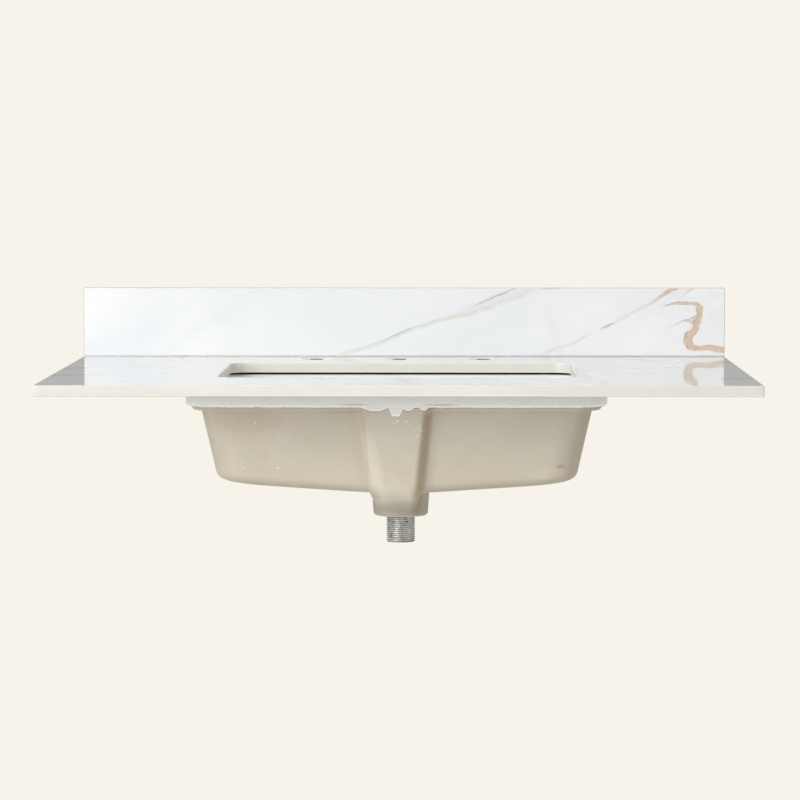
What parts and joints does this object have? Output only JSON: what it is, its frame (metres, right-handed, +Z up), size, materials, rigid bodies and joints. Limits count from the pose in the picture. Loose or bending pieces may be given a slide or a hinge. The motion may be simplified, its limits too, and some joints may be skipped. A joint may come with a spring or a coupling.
{
  "type": "vanity sink top",
  "caption": "White veined stone vanity top with backsplash, undermount rectangular ceramic basin, overflow channel and push-button drain with a threaded tail.",
  "frame": {"origin": "on the slab's underside, on its middle line, 30 mm in front of the wall edge", "axes": "+X to the right of someone at the basin, +Y to the wall, +Z up; the underside rests on the cabinet and faces -Z"},
  "size_m": [0.7874, 0.5588, 0.2825],
  "materials": {
    "stone": "polished white with gold and grey veins",
    "ceramic": "white glaze inside and on the rim, bare beige clay outside",
    "sealant": "cured bead",
    "plated_brass": "nickel plated, worn threads",
    "chrome": "polished",
    "black_rubber": "matte",
    "white_rubber": "matte",
    "white_plastic": "moulded",
    "spring_steel": "drawn wire"
  },
  "bodies": {
    "top": {"countertop_slab": "stone", "backsplash": "stone", "backsplash_sealant": "sealant", "basin": "ceramic", "basin_sealant": "sealant", "drain_flange": "plated_brass", "drain_body": "plated_brass", "drain_tail": "plated_brass", "flange_gasket": "white_rubber", "cone_gasket": "black_rubber", "slip_washer": "white_plastic", "drain_backnut": "plated_brass", "cartridge_barrel": "white_plastic", "cartridge_top_nut": "white_plastic", "cartridge_spring": "spring_steel"},
    "stopper": {"stopper_cap": "chrome", "stopper_seal": "black_rubber", "plunger_stem": "chrome"},
    "rotor": {"cartridge_rotor": "white_plastic"}
  },
  "joints": [
    {"name": "stopper_lift", "type": "slide", "parent": "top", "child": "stopper", "axis": [0, 0, 1], "range_m": [0, 0.0095], "deforming": ["cartridge_spring"]},
    {"name": "rotor_turn", "type": "hinge", "parent": "stopper", "child": "rotor", "pos_m": [-0.0005, -0.252, -0.135], "axis": [0, 0, 1], "range_deg": [0, 45]}
  ],
  "couplings": [
    {"joint": "rotor_turn", "follows": "stopper_lift", "rad_per_m": 82.67}
  ]
}
